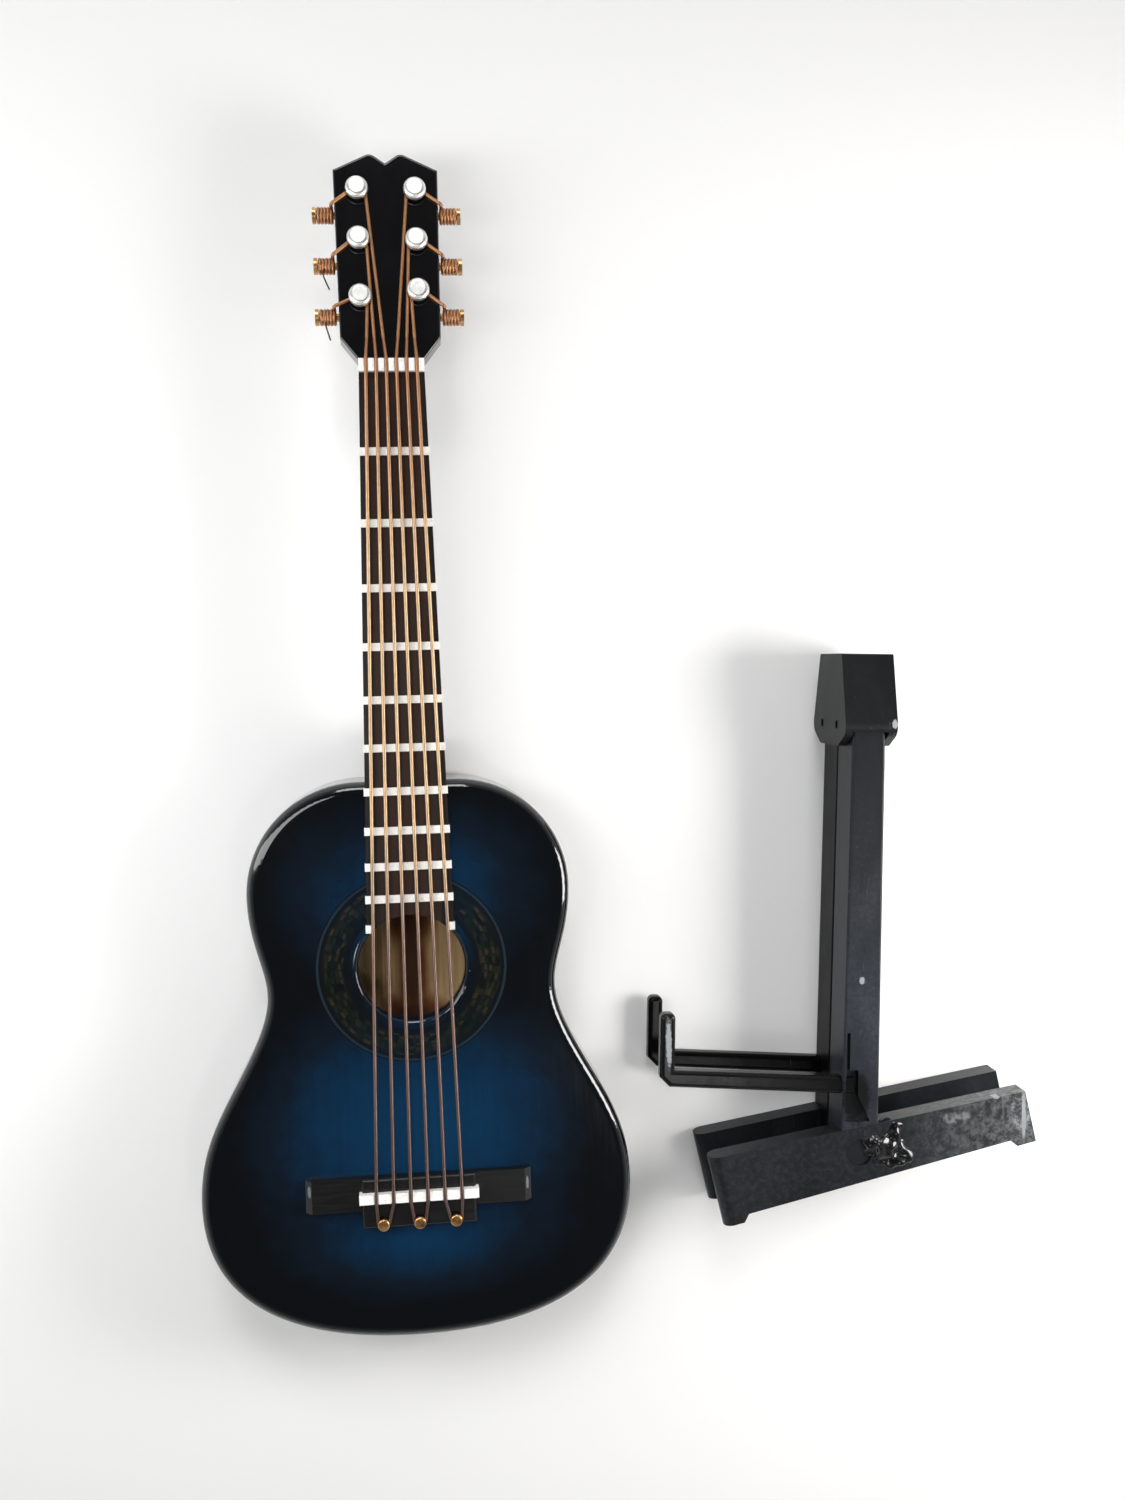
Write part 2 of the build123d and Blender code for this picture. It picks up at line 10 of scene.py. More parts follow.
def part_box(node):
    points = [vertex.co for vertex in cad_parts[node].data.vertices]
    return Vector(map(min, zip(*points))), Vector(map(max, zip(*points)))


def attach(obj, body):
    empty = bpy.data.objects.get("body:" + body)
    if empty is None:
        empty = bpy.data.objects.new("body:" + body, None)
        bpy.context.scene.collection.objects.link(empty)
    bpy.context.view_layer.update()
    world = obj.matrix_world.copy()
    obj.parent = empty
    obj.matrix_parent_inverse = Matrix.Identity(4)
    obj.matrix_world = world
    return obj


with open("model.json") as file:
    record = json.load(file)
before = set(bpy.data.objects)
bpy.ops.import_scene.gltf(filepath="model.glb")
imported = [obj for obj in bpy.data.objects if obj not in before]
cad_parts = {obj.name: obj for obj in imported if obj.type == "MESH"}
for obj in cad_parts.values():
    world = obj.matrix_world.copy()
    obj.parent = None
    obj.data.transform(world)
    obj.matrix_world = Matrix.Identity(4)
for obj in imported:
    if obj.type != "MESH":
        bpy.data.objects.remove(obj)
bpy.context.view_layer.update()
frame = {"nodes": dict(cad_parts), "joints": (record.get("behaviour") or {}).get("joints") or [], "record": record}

MM = 0.001


def grey(value):
    return (value, value, value, 1)


def color(red, green, blue):
    """A colour from 0-255 screen values."""
    def linear(value):
        value /= 255
        return value / 12.92 if value <= 0.04045 else ((value + 0.055) / 1.055) ** 2.4
    return (linear(red), linear(green), linear(blue), 1)


# ---- Camera, table and light ----
camera_place = (1.15, 77.9, 232.15)
camera_angles = (-2.454, -6.211, -1.650)
camera_lens = 33.6
camera_clip_start = 0.01
floor_size = 3.0
floor_gap = 0.05
table_tones = ((0.3, (0.94, 0.94, 0.94, 1)), (0.7, (0.96, 0.96, 0.95, 1)))
# How bright the room is at a height: 0 is level with the table, 1 is overhead.
room_tones = ((0.06, 1.6), (0.2, 0.66), (0.65, 0.31), (0.82, 0.07))
# Name, place, aim and size in metres, watts, colour.
room_lights = (
    ("lamp_right", (0.185, 0.042, 0.10), (0.06, 0.04, 0.0), (0.08, 0.08), 0.33, (1, 0.98, 0.955)),
    ("window_left", (-0.14, 0.09, 0.14), (-0.03, 0.07, 0.0), (0.06, 0.26), 0.28, (1, 1, 1)),
    ("window_top", (-0.10, 1.80, 1.60), (0.0, 0.10, 0.0), (0.80, 0.80), 16.0, (1, 1, 1)),
    ("ceiling_spot", (0.136, -0.120, 0.55), (0.04, 0.02, 0.0), (0.05, 0.05), 0.16, (1, 1, 1)),
)

# ---- Guitar, in millimetres in the frame ----
hole_y = 34.9
rosette_outer = 14.9
scale_length = 160.0
string_reach = 5.0
inner_skin = 0.02
# Ovals about the centreline: centre y, half width, half height, how much further out they count.
burst_ovals = ((8.5, 29.5, 27.0, 0.0), (-7.0, 34.0, 15.5, 0.24), (46.0, 27.0, 22.0, 0.14))
burst_melding = 0.3
# Painted shade inside the soundhole: the fingerboard's shadow at the top, the sides' shade at the bottom and a
# dark column between.
hole_shade_ovals = ((hole_y + 5.2, 4.6, 5.4, 0.0), (hole_y - 2.6, 3.0, 14.0, 0.0),
              (hole_y - 11.0, 7.4, 5.0, 0.0))
hole_shade_melding = 0.4
# The rosette's mosaic: tiles round it, rows from the hole's centre to its edge, unevenness.
tile_columns = 60
tile_rows = 26.0
tile_unevenness = 0.6
# Its bands and its rim, as shares of the outer radius.
mosaic_starts = 0.71
mosaic_ends = 0.925
rim_middle = 0.975
rim_half_width = 0.012
rim_share = 0.4
stain_over_rosette = 0.2
winding_per_mm = 2.6

# ---- Wear, painted highlights and painted shade, as ovals: x, y, half width and half height in millimetres in the frame ----
near_face_depth = 1.6
# Painted highlights at the ends of the bridge's wings.
bridge_glints = ((-16.9, 0.9, 0.28, 1.0), (16.9, 0.2, 0.25, 1.1))
cap_rubs = ((77.2, 70.3, 0.5, 0.8),)
# A painted reflection: the white strip along the near hook's face.
near_arm_glint = ((40.1, 20.7, 0.5, 4.2),)
# A pale rub, and a painted highlight along the pocket's bevel.
near_leg_rubs_and_glint = ((71.6, 29.3, 0.5, 0.7), (70.4, 12.9, 0.25, 1.4))
# Painted highlights along the foot's top edge, and pale wear at its rear end.
near_foot_rubs_and_glints = ((93.9, 9.0, 0.6, 0.4), (98.5, 5.5, 0.4, 4.0), (96.4, 10.2, 1.6, 0.3))
near_foot_scuffs = ((81.3, 8.8, 2.2, 1.0), (87.1, 6.0, 2.6, 1.1), (98.0, 6.5, 1.8, 4.0))
# Painted shade in the pocket at the arm's root.
pocket_shade = (70.4, 10.4, 2.6, 4.8)
stake_end = (70.0, 1.6, 3.9, 3.9)
table_level = 0.0
# From where to where along the stand's parts, and by what share at most.
near_leg_darkens = (25, 62)
near_leg_shading = 0.8
near_foot_pales = (77, 99)
near_foot_paling = 0.55
near_foot_scuffing = 0.45
# Worn plastic is duller, and the gloss of any plastic varies.
worn_dulling = 0.2
gloss_spread = 0.16

# ---- Ramps of a share, each with its places from 0 to 1 ----
spot_fade = ((0.75, 1.0), (1.0, 0.0))
# Fades of the painted shade inside the soundhole, light and deep.
shade_fade = ((0.6, 0.85), (1.3, 0.0))
deep_shade_fade = ((0.35, 0.88), (1.0, 0.0))
board_rub_fade = ((0.75, 0.42), (1.1, 0.0))
joint_rise = ((0.25, 0.0), (0.55, 0.7))
speck_fade = ((0.4, 0.55), (0.6, 0.0))
scuff_rise = ((0.62, 0.0), (0.72, 0.35))
scuffed_patches = ((0.54, 0.0), (0.68, 1.0))
scratch_rise = ((0.7, 0.0), (0.74, 0.15))
foot_grain_rise = ((0.45, 0.0), (0.75, 0.26))
foot_mottle_rise = ((0.42, 0.1), (0.62, 1.0))

# ---- Melted plastic, from the stand's pins: forward, down and outward ----
leg_outer = 7.65
melt_forward = -4.9
melt_below = 68.3
melt_radius = 4.2
melt_rise = 1.3
pressed_melt_rise = 0.8
melt_sink = 0.75
melt_subdivisions = 5
# Two noises: how quick each is, where it starts and what share of the radius it moves.
melt_lumps = (1.4, 3.1, 0.35)
melt_wrinkles = (3.0, 7.7, 0.1)
# How much the wrinkles move the top of the lump, as a share of its rise.
melt_pucker = 0.4

# ---- Loose wire ends at the left pegs ----
tail_radius = 0.12
wire_tails = {
    "wire_tail_1": ((-9.2, 135.2, 13.0), (-9.9, 134.4, 13.4), (-9.6, 133.2, 12.6),
                    (-9.2, 132.0, 11.6)),
    "wire_tail_2": ((-9.4, 143.2, 12.4), (-10.1, 142.2, 12.9), (-9.7, 140.9, 12.2),
                    (-9.1, 139.8, 11.2)),
}

# ---- Colours; tones are ramps, each with its places from 0 to 1 ----
burst_tones = ((0.2, color(9, 58, 94)), (0.48, color(8, 44, 72)), (0.72, color(11, 23, 36)),
               (0.95, color(6, 8, 10)))
burst_grain = (0.0, 0.003, 0.008, 1)
black_tones = ((0.3, color(8, 8, 10)), (0.7, color(15, 15, 18)))
wood_tones = ((0.3, color(196, 150, 96)), (0.5, color(234, 196, 140)),
              (0.7, color(246, 218, 168)))
wood_blotch = color(120, 78, 40)
# Painted shade inside the soundhole, light and deep.
wood_painted_shade = color(172, 92, 24)
wood_painted_deep_shade = color(58, 24, 5)
board_tones = ((0.35, color(10, 8, 7)), (0.65, color(32, 22, 17)))
board_rubbed = color(62, 34, 21)
bridge_tones = ((0.3, color(10, 10, 11)), (0.7, color(23, 22, 22)))
# The tone of the painted highlights at the bridge's wing tips.
bridge_glint_tone = color(104, 112, 118)
strip_tones = ((0.26, color(232, 222, 212)), (0.4, color(253, 251, 247)))
tile_tones = ((0.0, color(9, 14, 12)), (0.3, color(18, 30, 22)), (0.5, color(38, 38, 26)),
              (0.7, color(14, 24, 20)), (0.9, color(50, 45, 32)))
tile_joint = color(9, 11, 11)
rosette_band = color(13, 16, 18)
rosette_rim = color(52, 72, 86)
# From the bridge to the nut: dull over the body, pale gold over the frets, copper at the head; this change along
# the strings is a painted reflection.
wire_reflection_tones = ((0.0, color(124, 104, 98)), (0.24, color(130, 110, 102)),
              (0.36, color(214, 184, 146)), (0.6, color(220, 190, 152)),
              (0.78, color(190, 138, 104)), (1.0, color(192, 142, 100)))
wire_tarnish = color(96, 66, 52)
chrome_tones = ((0.3, color(226, 226, 222)), (0.7, color(250, 250, 246)))
brass_tones = ((0.3, color(150, 106, 66)), (0.55, color(206, 158, 106)),
               (0.75, color(232, 196, 146)))
# The dark and the light tone of each moulding. All are one plastic; the tones are painted light and shade, paler
# where the lamps light a part and darker where it lies in shade, most of all on the far side.
near_foot_tones = (color(9, 10, 12), color(25, 28, 32))
near_leg_tones = (color(29, 33, 39), color(54, 58, 65))
near_arm_tones = (color(7, 7, 8), color(17, 17, 18))
cap_tones = (color(12, 13, 15), color(22, 24, 27))
far_leg_tones = (color(4, 4, 5), color(8, 9, 10))
far_arm_tones = (color(4, 4, 5), color(8, 8, 9))
far_foot_tones = (color(16, 18, 21), color(34, 36, 40))
# The pale tone of wear, and of the painted highlights on the stand.
plastic_wear_and_glint_tone = color(150, 153, 156)
foot_grain = color(72, 78, 86)
# The pale tone of the foot's scuffs and of its paler rear end.
foot_pale_tone = color(132, 134, 136)
leg_shaded = color(10, 12, 15)
# The tone of the painted shade in the pocket at the arm.
leg_pocket_shade = color(8, 9, 10)
leg_stake = color(25, 27, 31)
melt_tones = ((0.3, color(4, 4, 5)), (0.7, color(13, 14, 16)))
tail_tones = ((0.3, color(52, 38, 30)), (0.7, color(120, 88, 62)))


class Shader:
    """A node material round one Principled shader, with short calls for the nodes it uses."""

    def __init__(self, name, **values):
        self.material = bpy.data.materials.new(name)
        self.material.use_nodes = True
        self.tree = self.material.node_tree
        self.surface = self.tree.nodes["Principled BSDF"]
        for socket, value in values.items():
            self.surface.inputs[socket.replace("_", " ")].default_value = value
        self.place = self.tree.nodes.new("ShaderNodeTexCoord").outputs["Object"]

    def node(self, kind, inputs=(), **settings):
        made = self.tree.nodes.new(kind)
        for key, value in settings.items():
            setattr(made, key, value)
        for key, value in dict(inputs).items():
            self.put(value, made.inputs[key])
        return made

    def put(self, value, socket):
        if isinstance(value, bpy.types.NodeSocket):
            self.tree.links.new(value, socket)
        else:
            socket.default_value = value

    def set(self, socket, value):
        self.put(value, self.surface.inputs[socket])

    def base(self):
        """The colour that already goes into the shader."""
        return self.surface.inputs["Base Color"].links[0].from_socket

    def axis(self, letter):
        """A coordinate in metres along one axis of the frame."""
        return self.node("ShaderNodeSeparateXYZ", {0: self.place}).outputs[letter]

    def mapped(self, scale=(1, 1, 1), offset=(0, 0, 0)):
        inputs = {"Vector": self.place, "Scale": scale, "Location": offset}
        return self.node("ShaderNodeMapping", inputs).outputs[0]

    def length(self, vector):
        return self.node("ShaderNodeVectorMath", {0: vector}, operation="LENGTH").outputs["Value"]

    def noise(self, per_mm, detail=3.0, rough=0.55, stretch=(1, 1, 1), warp=0.0):
        inputs = {"Vector": self.mapped(stretch), "Scale": per_mm / MM, "Detail": detail,
                  "Roughness": rough, "Distortion": warp}
        return self.node("ShaderNodeTexNoise", inputs).outputs["Fac"]

    def math(self, operation, a, b=0.0, c=0.0):
        inputs = {0: a, 1: b, 2: c}
        return self.node("ShaderNodeMath", inputs, operation=operation).outputs[0]

    def ramp(self, value, *stops):
        made = self.node("ShaderNodeValToRGB", {"Fac": value})
        set_stops(made.color_ramp.elements, stops)
        return made.outputs["Color"]

    def mix(self, share, a, b):
        made = self.node("ShaderNodeMix", data_type="RGBA")
        self.put(share, made.inputs["Factor"])
        self.put(a, made.inputs["A"])
        self.put(b, made.inputs["B"])
        return made.outputs["Result"]

    def between(self, value, low, high):
        """0 to 1 turned into low to high."""
        inputs = {"Value": value, "To Min": low, "To Max": high}
        return self.node("ShaderNodeMapRange", inputs).outputs["Result"]

    def progress(self, value, start, end):
        """How far a coordinate has come from start to end, in millimetres: 0 to 1."""
        inputs = {"Value": value, "From Min": start * MM, "From Max": end * MM}
        return self.node("ShaderNodeMapRange", inputs).outputs["Result"]

    def sway(self, value, cloud, swing):
        """A value pushed up and down by a noise, by up to swing each way."""
        return self.math("ADD", value, self.between(cloud, -swing, swing))

    def rough(self, cloud, smoothest, roughest):
        self.set("Roughness", self.between(cloud, smoothest, roughest))

    def tinted(self, base, cloud, most, tone):
        """A colour with a tone over it, by a share from none to most as a noise has it."""
        return self.mix(self.between(cloud, 0.0, most), base, tone)

    def bump(self, *layers):
        """Each layer is a height, a strength and a depth in millimetres; they stack."""
        normal = None
        for height, strength, depth in layers:
            inputs = {"Height": height, "Strength": strength, "Distance": depth * MM}
            if normal is not None:
                inputs["Normal"] = normal
            normal = self.node("ShaderNodeBump", inputs).outputs["Normal"]
        self.set("Normal", normal)


def set_stops(elements, stops):
    """Gives a new colour ramp its places from 0 to 1 and their colours or greys."""
    for position, _ in stops[len(elements):]:
        elements.new(position)
    for element, (position, tone) in zip(elements, stops):
        element.position = position
        element.color = grey(tone) if isinstance(tone, (int, float)) else tone


# ---- Places on the object ----

def oval(shader, centre_y, half_width, half_height):
    """1 on an ellipse about the guitar's centreline, less inside it and more outside."""
    scale = (1 / (half_width * MM), 1 / (half_height * MM), 0)
    return shader.length(shader.mapped(scale, (0, -centre_y / half_height, 0)))


def melded_ovals(shader, ovals, melding):
    """The field of several ovals that run into each other."""
    field = None
    for centre_y, half_width, half_height, further in ovals:
        reach = shader.math("ADD", oval(shader, centre_y, half_width, half_height), further)
        field = reach if field is None else shader.math("SMOOTH_MIN", field, reach, melding)
    return field


def spots(shader, low, *ovals):
    """1 inside ragged ovals, above the height low in metres."""
    nearest = None
    for x, y, half_width, half_height in ovals:
        scale = (1 / (half_width * MM), 1 / (half_height * MM), 0)
        reach = shader.length(shader.mapped(scale, (-x / half_width, -y / half_height, 0)))
        nearest = reach if nearest is None else shader.math("MINIMUM", nearest, reach)
    fray = shader.noise(per_mm=2.0, detail=4.0, rough=0.7)
    ragged = shader.sway(nearest, fray, swing=0.5)
    return shader.math("MULTIPLY", shader.ramp(ragged, *spot_fade),
                       shader.math("GREATER_THAN", shader.axis("Z"), low))


def near_face(node):
    """The height in metres above which a node shows its uppermost face."""
    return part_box(node)[1][2] - near_face_depth * MM


# ---- Guitar materials ----

def burst_color(shader):
    """Blue between soundhole and bridge, dimmer round the hole and below, black at the edge."""
    field = melded_ovals(shader, burst_ovals, burst_melding)
    cloud = shader.noise(per_mm=0.06, detail=3.0, stretch=(1, 0.6, 1))
    mottle = shader.noise(per_mm=0.35, detail=3.0, rough=0.65)
    field = shader.sway(field, cloud, swing=0.14)
    field = shader.sway(field, mottle, swing=0.1)
    stain = shader.ramp(field, *burst_tones)
    grain = shader.noise(per_mm=1.6, detail=4.0, rough=0.6, stretch=(1, 0.03, 1))
    return shader.tinted(stain, grain, most=0.35, tone=burst_grain)


def lacquer(shader):
    """Thick gloss lacquer: an even skin with faint ripples, fine dust and hairline marks."""
    ripple = shader.noise(per_mm=0.12, detail=2.0)
    dust = shader.noise(per_mm=3.0, detail=2.0)
    hairline = shader.noise(per_mm=2.4, detail=2.0, stretch=(1, 0.06, 1), warp=0.6)
    shader.rough(hairline, smoothest=0.04, roughest=0.11)
    shader.set("Coat Weight", 0.25)
    shader.set("Coat Roughness", 0.04)
    shader.bump((ripple, 0.12, 0.25), (dust, 0.03, 0.02))


def blue_lacquer():
    shader = Shader("blue_burst_lacquer")
    shader.set("Base Color", burst_color(shader))
    lacquer(shader)
    return shader.material


def black_lacquer():
    shader = Shader("black_lacquer")
    cloud = shader.noise(per_mm=0.15, detail=3.0)
    shader.set("Base Color", shader.ramp(cloud, *black_tones))
    lacquer(shader)
    return shader.material


def raw_wood_color(shader):
    """Pale softwood with growth lines along the guitar, with painted shade darkening it where the soundhole is
    dim.
    """
    line = shader.noise(per_mm=1.1, detail=5.0, rough=0.6, stretch=(1, 0.04, 1), warp=0.3)
    blotch = shader.noise(per_mm=0.05, detail=2.0)
    wood = shader.ramp(line, *wood_tones)
    wood = shader.tinted(wood, blotch, most=0.12, tone=wood_blotch)
    dim = melded_ovals(shader, hole_shade_ovals, hole_shade_melding)
    dim = shader.sway(dim, shader.noise(per_mm=0.2, detail=3.0), swing=0.1)
    # Painted shade where the soundhole is dim.
    wood = shader.mix(shader.ramp(dim, *shade_fade), wood, wood_painted_shade)
    return shader.mix(shader.ramp(dim, *deep_shade_fade), wood, wood_painted_deep_shade)


def wood_fibre(shader):
    return shader.noise(per_mm=2.5, detail=4.0, stretch=(1, 0.05, 1))


def raw_wood():
    shader = Shader("raw_wood")
    shader.set("Base Color", raw_wood_color(shader))
    fibre = wood_fibre(shader)
    shader.rough(fibre, smoothest=0.6, roughest=0.85)
    shader.bump((fibre, 0.3, 0.08))
    return shader.material


def back_wood():
    """Lacquered outside, raw wood on the inner face that the soundhole shows."""
    shader = Shader("back_plate_wood")
    height = shader.axis("Z")
    inner = shader.math("GREATER_THAN", height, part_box("back_plate")[1][2] - inner_skin * MM)
    shader.set("Base Color", shader.mix(inner, burst_color(shader), raw_wood_color(shader)))
    shader.rough(inner, smoothest=0.1, roughest=0.75)
    shader.bump((wood_fibre(shader), 0.15, 0.04))
    return shader.material


def stained_board():
    """Black-brown wood with open pores, rubbed browner under the strings."""
    shader = Shader("stained_fingerboard", Specular_IOR_Level=0.35)
    pore = shader.noise(per_mm=3.0, detail=4.0, rough=0.65, stretch=(1, 0.05, 1))
    shade = shader.ramp(pore, *board_tones)
    across = shader.math("ABSOLUTE", shader.axis("X"))
    share = shader.math("DIVIDE", across, string_reach * MM)
    rubbed = shader.ramp(share, *board_rub_fade)
    shader.set("Base Color", shader.mix(rubbed, shade, board_rubbed))
    shader.rough(pore, smoothest=0.28, roughest=0.5)
    shader.bump((pore, 0.25, 0.05))
    return shader.material


def bridge_wood():
    """Near-black wood with its pores across the guitar, with painted highlights pale at the wing tips."""
    shader = Shader("bridge_wood", Specular_IOR_Level=0.4)
    pore = shader.noise(per_mm=2.2, detail=4.0, rough=0.65, stretch=(0.08, 1, 1))
    wood = shader.ramp(pore, *bridge_tones)
    # A painted highlight at each wing tip.
    rubbed = spots(shader, near_face("bridge"), *bridge_glints)
    shader.set("Base Color", shader.mix(rubbed, wood, bridge_glint_tone))
    shader.rough(pore, smoothest=0.22, roughest=0.45)
    shader.bump((pore, 0.3, 0.06), (shader.noise(per_mm=0.5, detail=2.0), 0.2, 0.08))
    return shader.material


def white_strip():
    """Milky plastic strip, cut by hand: slightly waxy, with grime in its low spots."""
    shader = Shader("white_strip", Subsurface_Weight=0.15, Subsurface_Scale=0.4 * MM)
    grime = shader.noise(per_mm=1.5, detail=3.0)
    shader.set("Base Color", shader.ramp(grime, *strip_tones))
    shader.rough(grime, smoothest=0.2, roughest=0.38)
    shader.bump((shader.noise(per_mm=1.2, detail=2.0), 0.3, 0.08))
    return shader.material


def mosaic(shader, reach):
    """Small dark tiles in rows round the soundhole; reach is 1 at the rosette's edge."""
    centred = shader.mapped(offset=(0, -hole_y * MM, 0))
    parts = shader.node("ShaderNodeSeparateXYZ", {0: centred}).outputs
    angle = shader.math("ARCTAN2", parts["Y"], parts["X"])
    column = shader.math("MULTIPLY", angle, tile_columns / math.tau)
    row = shader.math("MULTIPLY", reach, tile_rows)
    cell = shader.node("ShaderNodeCombineXYZ", {"X": column, "Y": row}).outputs[0]
    inputs = {"Vector": cell, "Scale": 1.0, "Randomness": tile_unevenness}
    tiles = shader.node("ShaderNodeTexVoronoi", inputs, voronoi_dimensions="2D",
                        distance="CHEBYCHEV").outputs
    pick = shader.node("ShaderNodeSeparateColor", {0: tiles["Color"]}).outputs[0]
    joint = shader.ramp(tiles["Distance"], *joint_rise)
    return shader.mix(joint, shader.ramp(pick, *tile_tones), tile_joint)


def rosette_inlay():
    """The mosaic between two plain bands with a faint outer rim, under the lacquer."""
    shader = Shader("rosette_inlay")
    reach = shader.math("DIVIDE", oval(shader, hole_y, 1.0, 1.0), rosette_outer)
    plain = shader.math("MAXIMUM", shader.math("LESS_THAN", reach, mosaic_starts),
                        shader.math("GREATER_THAN", reach, mosaic_ends))
    inlay = shader.mix(plain, mosaic(shader, reach), rosette_band)
    rim = shader.math("COMPARE", reach, rim_middle, rim_half_width)
    inlay = shader.mix(shader.math("MULTIPLY", rim, rim_share), inlay, rosette_rim)
    shader.set("Base Color", shader.mix(stain_over_rosette, inlay, burst_color(shader)))
    lacquer(shader)
    return shader.material


def copper_wire():
    """Fine wound wire, whose tone changes along the guitar as a painted reflection, with patches of tarnish."""
    shader = Shader("copper_wire", Metallic=1.0)
    wander = shader.noise(per_mm=0.06, detail=2.0)
    along = shader.sway(shader.axis("Y"), wander, swing=6 * MM)
    # A painted reflection: the tone changes along the strings.
    tone = shader.ramp(shader.progress(along, 0.0, scale_length), *wire_reflection_tones)
    tarnish = shader.noise(per_mm=1.2, detail=3.0)
    shader.set("Base Color", shader.tinted(tone, tarnish, most=0.4, tone=wire_tarnish))
    shader.rough(tarnish, smoothest=0.24, roughest=0.42)
    inputs = {"Vector": shader.place, "Scale": winding_per_mm / MM, "Distortion": 0.4}
    turns = shader.node("ShaderNodeTexWave", inputs, bands_direction="Y").outputs["Fac"]
    shader.bump((turns, 0.35, 0.03))
    return shader.material


def chrome():
    shader = Shader("chrome_posts", Metallic=1.0)
    smudge = shader.noise(per_mm=0.9, detail=3.0)
    shader.set("Base Color", shader.ramp(smudge, *chrome_tones))
    shader.rough(smudge, smoothest=0.32, roughest=0.46)
    shader.bump((shader.noise(per_mm=0.6, detail=1.0), 0.1, 0.05))
    return shader.material


def brass():
    shader = Shader("dull_brass", Metallic=1.0)
    tarnish = shader.noise(per_mm=1.0, detail=4.0)
    shader.set("Base Color", shader.ramp(tarnish, *brass_tones))
    shader.rough(tarnish, smoothest=0.22, roughest=0.42)
    turned = shader.noise(per_mm=4.0, detail=2.0, stretch=(1, 0.1, 0.1))
    shader.bump((turned, 0.2, 0.03))
    return shader.material


# ---- Stand materials ----

def stand_plastic(node, tones, gloss, shine, rubs=()):
    """Moulded plastic with flow marks, pale scuffs and fine scratches, and pale rubs that on some parts are
    painted highlights.

    gloss is its lowest roughness and shine its specular level.
    """
    shader = Shader(node + "_plastic", Specular_IOR_Level=shine)
    dark, light = tones
    flow = shader.noise(per_mm=0.09, detail=4.0, stretch=(1, 0.35, 1), warp=1.2)
    speck = shader.noise(per_mm=1.4, detail=5.0, rough=0.7)
    base = shader.ramp(flow, (0.3, dark), (0.7, light))
    base = shader.mix(shader.ramp(speck, *speck_fade), base, dark)
    patch = shader.noise(per_mm=0.07, detail=2.0)
    worn = shader.math("MULTIPLY", shader.ramp(speck, *scuff_rise),
                       shader.ramp(patch, *scuffed_patches))
    scratch = shader.noise(per_mm=1.8, detail=2.0, stretch=(1, 0.07, 1), warp=0.8)
    worn = shader.math("MAXIMUM", worn, shader.ramp(scratch, *scratch_rise))
    # Pale rubs; on the near arm, leg and foot some are painted highlights.
    if rubs:
        worn = shader.math("MAXIMUM", worn, spots(shader, near_face(node), *rubs))
    shader.set("Base Color", shader.mix(worn, base, plastic_wear_and_glint_tone))
    dull = shader.math("MULTIPLY", worn, worn_dulling)
    satin = shader.between(flow, gloss, gloss + gloss_spread)
    shader.set("Roughness", shader.math("ADD", satin, dull))
    shader.bump((flow, 0.25, 0.35), (shader.noise(per_mm=2.2, detail=3.0), 0.1, 0.04),
                (worn, 0.15, 0.03))
    return shader


def foot_wear_and_glints():
    """The near foot: dark and finely mottled, paler and scuffed towards its rear end, with painted highlights
    along its edges.
    """
    shader = stand_plastic("left_foot", near_foot_tones, gloss=0.3, shine=0.3,
                           rubs=near_foot_rubs_and_glints)
    grain = shader.noise(per_mm=1.1, detail=5.0, rough=0.7, warp=0.5)
    base = shader.mix(shader.ramp(grain, *foot_grain_rise), shader.base(), foot_grain)
    rear = shader.progress(shader.axis("X"), *near_foot_pales)
    scuffed = spots(shader, near_face("left_foot"), *near_foot_scuffs)
    share = shader.math("ADD", shader.math("MULTIPLY", rear, near_foot_paling),
                        shader.math("MULTIPLY", scuffed, near_foot_scuffing))
    mottle = shader.noise(per_mm=0.8, detail=5.0, rough=0.7)
    pale = shader.math("MULTIPLY", share, shader.ramp(mottle, *foot_mottle_rise))
    shader.set("Base Color", shader.mix(pale, base, foot_pale_tone))
    return shader.material


def leg_wear_and_painted_light():
    """The near leg: painted shade, darkest under the cap, painted shade in the pocket at the arm, and a dark
    stake.
    """
    shader = stand_plastic("left_leg", near_leg_tones, gloss=0.3, shine=0.2, rubs=near_leg_rubs_and_glint)
    top = shader.progress(shader.axis("Y"), *near_leg_darkens)
    base = shader.mix(shader.math("MULTIPLY", top, near_leg_shading), shader.base(), leg_shaded)
    # Painted shade in the pocket at the arm.
    base = shader.mix(spots(shader, table_level, pocket_shade), base, leg_pocket_shade)
    base = shader.mix(spots(shader, table_level, stake_end), base, leg_stake)
    shader.set("Base Color", base)
    return shader.material


def stand_finishes():
    """The near side of the stand is painted paler than the far side, as lit against shaded, and its arms are
    polished.
    """
    far_leg = stand_plastic("right_leg", far_leg_tones, gloss=0.3, shine=0.08)
    cap = stand_plastic("stand_cap", cap_tones, gloss=0.34, shine=0.2, rubs=cap_rubs)
    # The near arm carries a painted reflection along its hook.
    near_arm = stand_plastic("left_arm", near_arm_tones, gloss=0.12, shine=0.25,
                             rubs=near_arm_glint)
    far_arm = stand_plastic("right_arm", far_arm_tones, gloss=0.12, shine=0.1)
    far_foot = stand_plastic("right_foot", far_foot_tones, gloss=0.3, shine=0.2)
    return {"stand_cap": cap.material, "left_leg": leg_wear_and_painted_light(), "left_arm": near_arm.material,
            "left_foot": foot_wear_and_glints(), "right_leg": far_leg.material,
            "right_foot": far_foot.material, "right_arm": far_arm.material,
            "left_hinge_pin": far_leg.material, "right_hinge_pin": far_leg.material}


